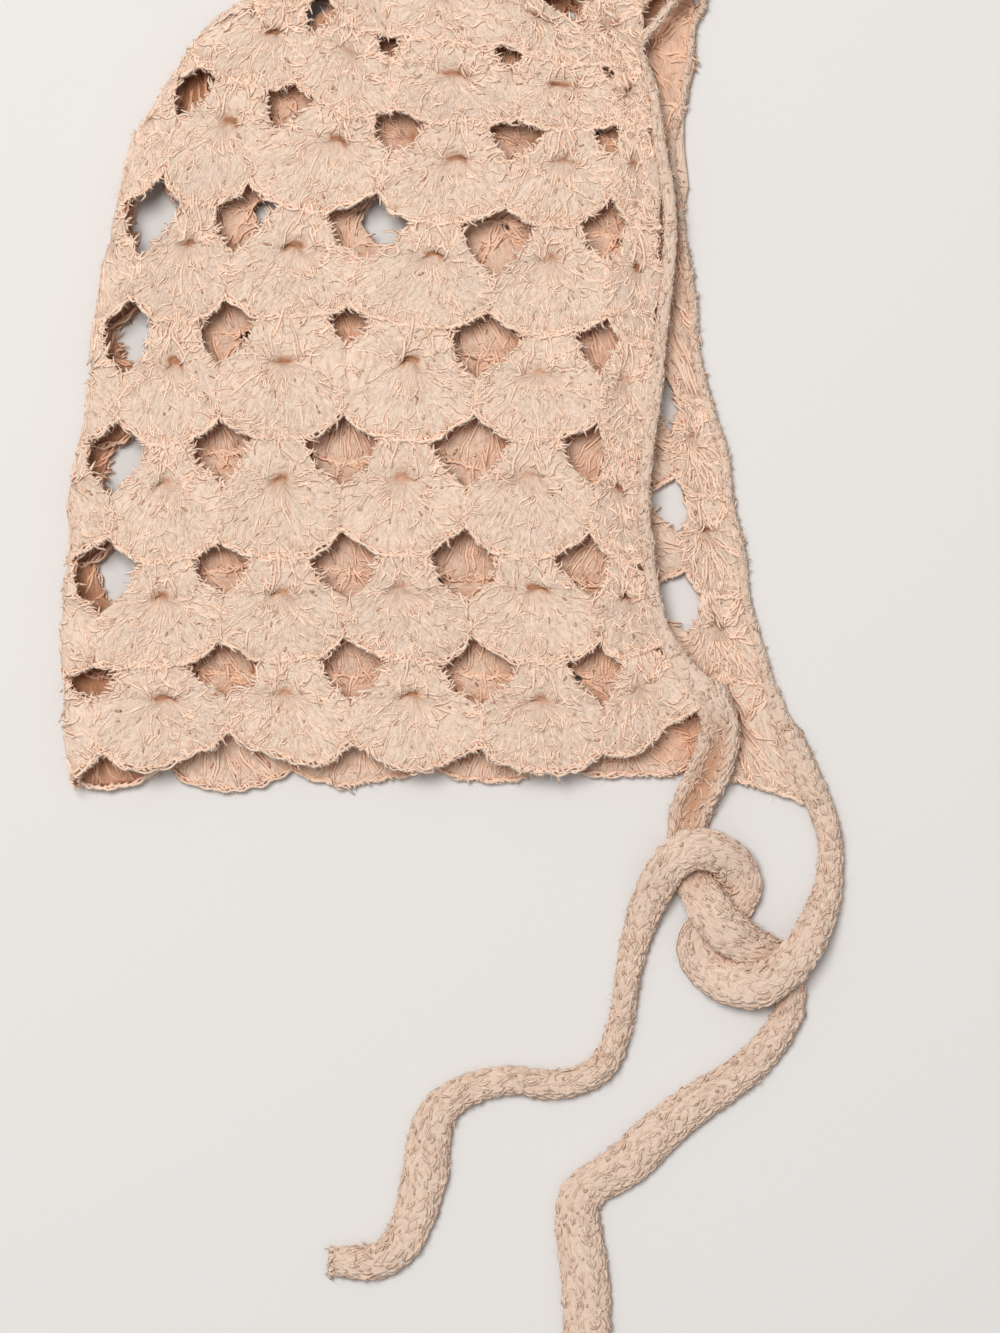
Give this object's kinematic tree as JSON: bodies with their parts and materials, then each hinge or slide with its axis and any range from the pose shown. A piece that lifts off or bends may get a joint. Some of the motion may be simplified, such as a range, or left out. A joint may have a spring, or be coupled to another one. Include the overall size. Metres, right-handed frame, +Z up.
{
  "type": "crochet bonnet",
  "caption": "Crocheted shell-stitch bonnet with a face edging and knitted ties in a loose knot, laid flat and folded double along the back of the head.",
  "frame": {"origin": "centre of the folded hood's outline seen from above, on the surface that the lower layer lies on", "axes": "+X from the back fold towards the face opening, +Y from the neck edge towards the crown, +Z up from the lower layer to the upper layer"},
  "size_m": [0.2675, 0.5188, 0.016],
  "materials": {
    "hood_yarn": "brushed mohair-blend yarn in crocheted shells, pale peach beige",
    "edging_yarn": "brushed mohair-blend yarn in plain crochet, pale peach beige",
    "tie_yarn": "brushed mohair-blend yarn in narrow stocking-stitch knitting, pale peach beige"
  },
  "bodies": {
    "root": {"hood": "hood_yarn", "face_edging": "edging_yarn", "near_tie": "tie_yarn", "far_tie": "tie_yarn"}
  },
  "joints": []
}
